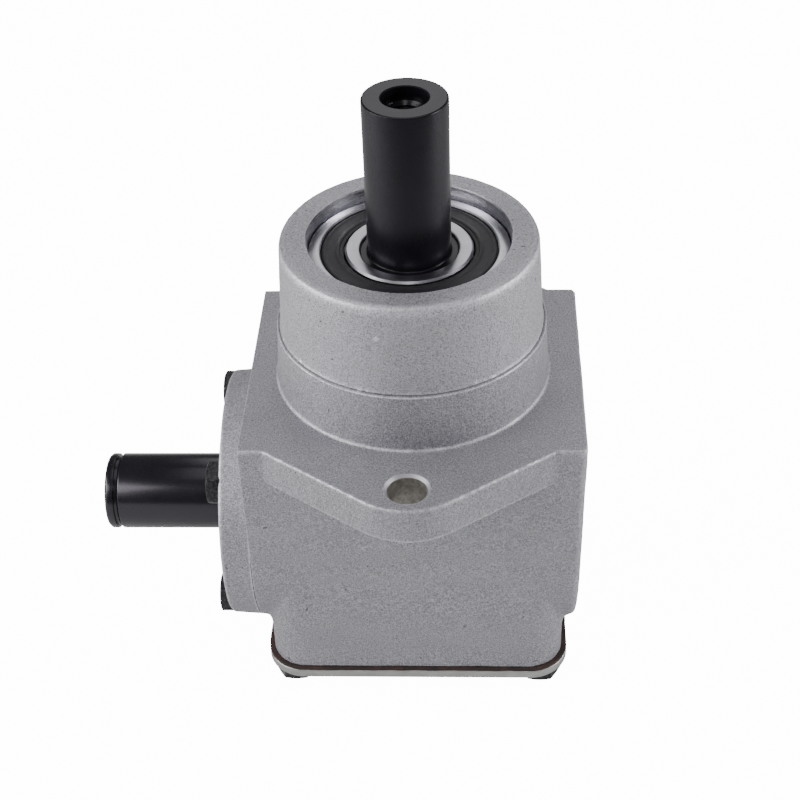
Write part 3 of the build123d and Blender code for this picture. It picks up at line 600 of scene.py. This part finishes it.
class Shader:
    """A material's nodes, made one by one."""

    def __init__(self, name):
        self.material = bpy.data.materials.new(name)
        self.material.use_nodes = True
        self.tree = self.material.node_tree
        self.surface = self.tree.nodes["Principled BSDF"]
        self.place = self.node("ShaderNodeTexCoord").outputs["Object"]

    def node(self, kind, inputs=None, **settings):
        made = self.tree.nodes.new(kind)
        for key, value in settings.items():
            setattr(made, key, value)
        for key, value in (inputs or {}).items():
            self.put(made.inputs[key], value)
        return made

    def put(self, socket, value):
        if isinstance(value, bpy.types.NodeSocket):
            self.tree.links.new(value, socket)
        else:
            socket.default_value = value

    def math(self, operation, a, b=0.0):
        return self.node("ShaderNodeMath", {0: a, 1: b}, operation=operation).outputs[0]

    def times(self, *values):
        """The product of two or more values."""
        product = values[0]
        for value in values[1:]:
            product = self.math("MULTIPLY", product, value)
        return product

    def stretched(self, x, y, z):
        """Object coordinates stretched along the axes; a small number draws the pattern out."""
        return self.node("ShaderNodeMapping", {"Vector": self.place, "Scale": (x, y, z)}).outputs[0]

    def noise(self, size, detail, rough, place=None, distortion=0.0):
        """Noise with features of a size in millimetres."""
        inputs = {"Vector": place or self.place, "Scale": 1 / (size * MM), "Detail": detail,
                  "Roughness": rough, "Distortion": distortion}
        return self.node("ShaderNodeTexNoise", inputs).outputs["Fac"]

    def band(self, value, low, high, start=0.0, end=1.0):
        """A value taken from one range to another, held at the ends."""
        inputs = {"Value": value, "From Min": low, "From Max": high, "To Min": start, "To Max": end}
        return self.node("ShaderNodeMapRange", inputs).outputs[0]

    def mix(self, share, first, second):
        return self.node("ShaderNodeMix", {0: share, 6: first, 7: second}, data_type="RGBA").outputs[2]

    def tint(self, value, low, high, dark, light):
        """A colour between two, by a value."""
        return self.mix(self.band(value, low, high), dark, light)

    def bump(self, height, depth, below=None):
        """A bump of a depth in millimetres."""
        inputs = {"Height": height, "Distance": depth * MM, "Strength": 1.0}
        if below:
            inputs["Normal"] = below
        return self.node("ShaderNodeBump", inputs).outputs[0]

    def axis(self, index):
        """A coordinate in millimetres: 0 for x, 1 for y, 2 for z."""
        return self.math("DIVIDE", self.node("ShaderNodeSeparateXYZ", {0: self.place}).outputs[index], MM)

    def from_vertical(self):
        """Distance from the vertical shaft line, in millimetres."""
        squares = [self.math("POWER", self.axis(index), 2.0) for index in (0, 1)]
        return self.math("SQRT", self.math("ADD", *squares))

    def near(self, value, centre, half, soft):
        """1 within half of a centre, falling to 0 over the soft width."""
        away = self.math("ABSOLUTE", self.math("SUBTRACT", value, centre))
        return self.band(away, half, half + soft, 1.0, 0.0)

    def edges(self, low, high):
        """1 on outer edges, 0 on flats, between two values of pointiness."""
        return self.band(self.node("ShaderNodeNewGeometry").outputs["Pointiness"], low, high)

    def finish(self, colour, roughness, metallic, normal=None, **constants):
        self.put(self.surface.inputs["Base Color"], colour)
        self.put(self.surface.inputs["Roughness"], roughness)
        self.surface.inputs["Metallic"].default_value = metallic
        if normal:
            self.put(self.surface.inputs["Normal"], normal)
        for key, value in constants.items():
            self.surface.inputs[key.replace("_", " ")].default_value = value
        return self.material


def grey(level):
    return (level, level, level, 1.0)


def alloy(level):
    """Aluminium's slightly violet grey."""
    return (level * 1.012, level, level * 1.075, 1.0)


def cast_aluminium():
    s = Shader("cast_aluminium")
    grain = s.noise(0.72, 2.0, 0.6)
    fine = s.noise(0.36, 1.0, 0.5)
    clouds = s.noise(15.0, 4.0, 0.6)
    colour = s.tint(clouds, 0.32, 0.68, alloy(0.36), alloy(0.42))
    # Painted light: the boss above the parting step is coloured lighter, standing in for the shade over its
    # lower band next to the flange
    height = s.axis(2)
    colour = s.mix(s.band(height, BOSS_STEP_Z, BOSS_STEP_Z + 1, 0.0, 0.45), colour, alloy(0.66))
    colour = s.mix(s.band(grain, 0.50, 0.68, 0.0, 0.65), colour, alloy(0.60))
    colour = s.mix(s.band(grain, 0.32, 0.50, 0.6, 0.0), colour, alloy(0.27))
    colour = s.mix(s.band(fine, 0.50, 0.66, 0.0, 0.65), colour, alloy(0.64))
    colour = s.mix(s.band(fine, 0.34, 0.50, 0.55, 0.0), colour, alloy(0.24))
    pits = s.band(s.noise(1.9, 1.0, 0.4), 0.755, 0.79, 0.0, 0.75)
    colour = s.mix(pits, colour, alloy(0.13))
    stain = s.band(s.noise(24.0, 5.0, 0.62, distortion=0.6), 0.60, 0.76, 0.0, 0.25)
    colour = s.mix(stain, colour, (0.32, 0.315, 0.30, 1))
    # Outer edges lighter in specks: partly rubbed wear, partly painted highlight on the rounded edges
    speckle = s.band(s.noise(1.1, 3.0, 0.65), 0.36, 0.58, 0.25, 1.0)
    worn = s.times(s.edges(0.506, 0.54), speckle)
    colour = s.mix(worn, colour, alloy(0.82))
    # Painted shade darkens the groove of the parting line round the boss, a painted highlight runs along its
    # lower lip, and another painted highlight runs round the boss's foot
    outside = s.band(s.from_vertical(), 37.5, 38.5)
    groove_shade = s.times(s.near(height, BOSS_STEP_Z + 0.30, 0.10, 0.12), outside)
    colour = s.mix(s.times(groove_shade, 0.7), colour, alloy(0.09))
    lip = s.times(s.near(height, BOSS_STEP_Z - 0.26, 0.14, 0.16), outside)
    foot = s.times(s.near(s.from_vertical(), BOSS_FOOT_R, 0.12, 0.35), s.near(height, 0.1, 0.4, 0.4),
                   s.band(s.noise(9.0, 2.0, 0.5), 0.35, 0.6, 0.45, 0.9))
    # Painted highlight in specks along the boss's rounded top edge
    rim = s.times(s.near(height, BOSS_TOP - 1.4, 0.8, 1.5), s.band(s.from_vertical(), 37.2, 38.2),
                  s.band(s.noise(0.6, 2.0, 0.6), 0.46, 0.58))
    # Painted highlights on the lip, the foot and the top edge, broken up in specks
    bright = s.times(s.math("MAXIMUM", lip, foot), speckle)
    bright = s.math("MAXIMUM", bright, s.times(rim, 0.8))
    colour = s.mix(s.times(bright, 0.85), colour, alloy(0.85))
    rough = s.math("SUBTRACT", s.band(grain, 0.2, 0.8, 0.50, 0.62), s.times(worn, 0.15))
    normal = s.bump(grain, 0.16)
    normal = s.bump(fine, 0.06, normal)
    return s.finish(colour, rough, 0.85, normal)


def machined_aluminium():
    s = Shader("machined_aluminium")
    turning = s.noise(0.25, 2.0, 0.5, s.stretched(0.04, 0.04, 1.0))
    patches = s.noise(6.0, 3.0, 0.6)
    colour = s.tint(patches, 0.3, 0.7, alloy(0.55), alloy(0.72))
    colour = s.mix(s.band(turning, 0.35, 0.7, 0.0, 0.4), colour, alloy(0.34))
    # The ears' holes are duller and darker, and their walls take a darker brownish grey
    ear = s.band(s.math("ABSOLUTE", s.axis(1)), 50.0, 52.0)
    hole = s.times(ear, s.band(s.axis(2), -1.2, -0.7, 1.0, 0.0))
    hole_wall_tone = s.tint(s.noise(1.8, 4.0, 0.65), 0.3, 0.7, (0.20, 0.185, 0.165, 1), (0.40, 0.38, 0.35, 1))
    colour = s.mix(s.times(ear, 0.6), colour, alloy(0.42))
    colour = s.mix(hole, colour, hole_wall_tone)
    rough = s.math("ADD", s.band(turning, 0.3, 0.7, 0.22, 0.38), s.times(ear, 0.3))
    return s.finish(colour, rough, 1.0, s.bump(turning, 0.02))


def blackened(name, shine, rough):
    """Blackened round bar; shine is its specular level and rough its lowest roughness."""
    s = Shader(name)
    fine = s.noise(0.22, 2.0, 0.5, s.stretched(0.05, 0.05, 1.0))
    broad = s.noise(9.0, 3.0, 0.5)
    colour = s.tint(broad, 0.3, 0.75, (0.005, 0.0045, 0.0065, 1), (0.009, 0.008, 0.0115, 1))
    worn = s.times(s.edges(0.55, 0.62), s.band(s.noise(1.5, 3.0, 0.6), 0.4, 0.65))
    colour = s.mix(s.times(worn, 0.5), colour, alloy(0.16))
    return s.finish(colour, s.band(broad, 0.3, 0.7, rough, rough + 0.02), 0.0, s.bump(fine, 0.005),
                    Specular_IOR_Level=shine, Specular_Tint=(0.95, 0.90, 1.0, 1))


def black_oxide_steel():
    return blackened("black_oxide_steel", 0.36, 0.27)


def burnished_steel():
    return blackened("burnished_steel", 0.70, 0.22)


def black_screw():
    s = Shader("black_screw")
    spots = s.noise(0.9, 4.0, 0.65)
    colour = s.tint(spots, 0.35, 0.7, (0.0068, 0.006, 0.009, 1), (0.0165, 0.0145, 0.021, 1))
    worn = s.times(s.edges(0.52, 0.60), s.band(spots, 0.4, 0.6))
    colour = s.mix(s.times(worn, 0.7), colour, grey(0.25))
    return s.finish(colour, s.band(spots, 0.3, 0.7, 0.32, 0.5), 0.3, s.bump(spots, 0.02))


def bearing_steel():
    s = Shader("bearing_steel")
    spread = s.node("ShaderNodeCombineXYZ", {0: s.from_vertical(), 1: 0.0, 2: s.axis(2)}).outputs[0]
    brushed = s.noise(0.15 / MM, 3.0, 0.6, spread)
    clouds = s.noise(5.0, 3.0, 0.6)
    colour = s.tint(clouds, 0.3, 0.7, alloy(0.46), alloy(0.56))
    colour = s.mix(s.band(brushed, 0.4, 0.7, 0.0, 0.4), colour, alloy(0.38))
    return s.finish(colour, s.band(brushed, 0.3, 0.7, 0.24, 0.36), 1.0, s.bump(brushed, 0.006))


def seal_rubber():
    s = Shader("seal_rubber")
    fine = s.noise(0.3, 3.0, 0.6)
    dust = s.noise(4.0, 4.0, 0.65)
    colour = s.tint(dust, 0.3, 0.75, (0.0115, 0.0102, 0.014, 1), (0.022, 0.0195, 0.026, 1))
    return s.finish(colour, s.band(fine, 0.3, 0.7, 0.45, 0.62), 0.0, s.bump(fine, 0.02))


def gasket_fibre():
    s = Shader("gasket_fibre")
    fibres = s.noise(0.6, 4.0, 0.7, s.stretched(0.4, 0.4, 2.0))
    clouds = s.noise(7.0, 3.0, 0.6)
    colour = s.tint(fibres, 0.3, 0.75, (0.012, 0.009, 0.008, 1), (0.050, 0.030, 0.024, 1))
    colour = s.mix(s.band(clouds, 0.45, 0.7, 0.0, 0.6), colour, (0.085, 0.038, 0.028, 1))
    return s.finish(colour, s.band(fibres, 0.3, 0.7, 0.75, 0.9), 0.0, s.bump(fibres, 0.08))


def zinc_plate():
    s = Shader("zinc_plate")
    rolled = s.noise(0.5, 3.0, 0.6, s.stretched(0.05, 1.0, 1.0))
    clouds = s.noise(6.0, 4.0, 0.6)
    colour = s.tint(clouds, 0.3, 0.7, (0.40, 0.405, 0.385, 1), (0.52, 0.525, 0.505, 1))
    colour = s.mix(s.band(rolled, 0.4, 0.7, 0.0, 0.35), colour, grey(0.33))
    worn = s.edges(0.51, 0.57)
    colour = s.mix(s.times(worn, 0.6), colour, grey(0.75))
    return s.finish(colour, s.band(rolled, 0.3, 0.7, 0.36, 0.5), 0.9, s.bump(rolled, 0.015))


def gear_steel():
    s = Shader("gear_steel")
    hobbed = s.noise(0.35, 3.0, 0.6)
    clouds = s.noise(5.0, 4.0, 0.6)
    colour = s.tint(clouds, 0.3, 0.7, (0.19, 0.185, 0.18, 1), (0.30, 0.295, 0.29, 1))
    colour = s.mix(s.edges(0.52, 0.6), colour, grey(0.5))
    return s.finish(colour, s.band(hobbed, 0.3, 0.7, 0.28, 0.42), 1.0, s.bump(hobbed, 0.02))


def spring_steel():
    s = Shader("spring_steel")
    clouds = s.noise(2.0, 4.0, 0.6)
    colour = s.tint(clouds, 0.3, 0.7, (0.05, 0.05, 0.056, 1), (0.09, 0.09, 0.10, 1))
    return s.finish(colour, s.band(clouds, 0.3, 0.7, 0.3, 0.45), 0.9, s.bump(clouds, 0.01))


def cage_brass():
    s = Shader("cage_brass")
    clouds = s.noise(2.5, 4.0, 0.6)
    colour = s.tint(clouds, 0.3, 0.7, (0.44, 0.30, 0.11, 1), (0.58, 0.41, 0.17, 1))
    return s.finish(colour, s.band(clouds, 0.3, 0.7, 0.28, 0.42), 1.0, s.bump(clouds, 0.01))


MAKERS = (cast_aluminium, machined_aluminium, black_oxide_steel, burnished_steel, black_screw, bearing_steel,
          seal_rubber, gasket_fibre, zinc_plate, gear_steel, spring_steel, cage_brass)
finishes = {maker.__name__: maker() for maker in MAKERS}
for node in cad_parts.values():
    for place, old in enumerate(node.data.materials):
        node.data.materials[place] = finishes[old.name.split(".")[0]]


def painted(obj, *names):
    """Give an object its finishes, one for each slot."""
    obj.data.materials.clear()
    for name in names:
        obj.data.materials.append(finishes[name])


def repainted(obj, *names):
    """The same, keeping each face's slot."""
    slots = np.zeros(len(obj.data.polygons), np.int32)
    obj.data.polygons.foreach_get("material_index", slots)
    painted(obj, *names)
    obj.data.polygons.foreach_set("material_index", slots)


for name, finish in finish_of.items():
    piece = bpy.data.objects[name]
    if finish == "cast_aluminium":
        repainted(piece, "cast_aluminium", "machined_aluminium")
    else:
        painted(piece, finish)

# ---------------------------------------------------------------- stage, light and camera

FLOOR_Z = box_mm("bottom_cover_screws")[0].z - 0.2
FLOOR_HALF = 3000
PAPER_GLOW = 14.0
floor_corners = [(x * FLOOR_HALF, y * FLOOR_HALF, FLOOR_Z) for x, y in ((-1, -1), (1, -1), (1, 1), (-1, 1))]
floor = new_object("floor", mesh_from("floor", floor_corners, [(0, 1, 2, 3)]))
paper = Shader("paper")
seen = paper.node("ShaderNodeLightPath").outputs["Is Camera Ray"]
paper.finish(grey(0.80), 0.9, 0.0)
paper.surface.inputs["Emission Color"].default_value = (1, 1, 1, 1)
paper.put(paper.surface.inputs["Emission Strength"], paper.times(seen, PAPER_GLOW))
floor.data.materials.append(paper.material)

world = bpy.data.worlds.new("studio")
bpy.context.scene.world = world
world.use_nodes = True
sky = world.node_tree.nodes["Background"].inputs
sky["Color"].default_value = (0.93, 0.96, 1.0, 1)
sky["Strength"].default_value = 0.14


def soft_light(name, place, target, size, power):
    """A square soft box facing a point; places and size in millimetres, power in watts."""
    data = bpy.data.lights.new(name, "AREA")
    data.shape = "SQUARE"
    data.size = size * MM
    data.energy = power
    lamp = bpy.data.objects.new(name, data)
    bpy.context.scene.collection.objects.link(lamp)
    lamp.location = Vector(place) * MM
    lamp.rotation_euler = (Vector(target) - Vector(place)).to_track_quat("-Z", "Y").to_euler()


soft_light("key_left", (-900, -500, 500), (0, 0, -20), 700, 6.8)
soft_light("side_left", (-1000, -100, 300), (0, 0, -20), 500, 5.4)
soft_light("side_right", (1000, -60, 300), (0, 0, -20), 400, 7.4)
soft_light("top", (0, 100, 1200), (0, 0, 0), 900, 2.6)
soft_light("back_top", (0, 900, 700), (0, 0, 0), 700, 1.9)
soft_light("front_high", (0, -900, 900), (0, 0, 0), 320, 1.7)

YAW, PITCH, ROLL = -0.0593, 0.6581, 0.0384
CAMERA_PLACE = (20.57, -423.90, 314.37)
LENS = 74.62
ahead = Vector((sin(YAW) * cos(PITCH), cos(YAW) * cos(PITCH), -sin(PITCH)))
level = Vector((cos(YAW), -sin(YAW), 0))
down = ahead.cross(level)
right = cos(ROLL) * level + sin(ROLL) * down
down = -sin(ROLL) * level + cos(ROLL) * down
camera = bpy.data.objects.new("camera", bpy.data.cameras.new("camera"))
bpy.context.scene.collection.objects.link(camera)
camera.data.lens = LENS
camera.data.sensor_width = 36
camera.data.clip_start = 0.01
turn = Matrix((right, -down, -ahead)).transposed().to_4x4()
camera.matrix_world = Matrix.Translation(Vector(CAMERA_PLACE) * MM) @ turn
bpy.context.scene.camera = camera
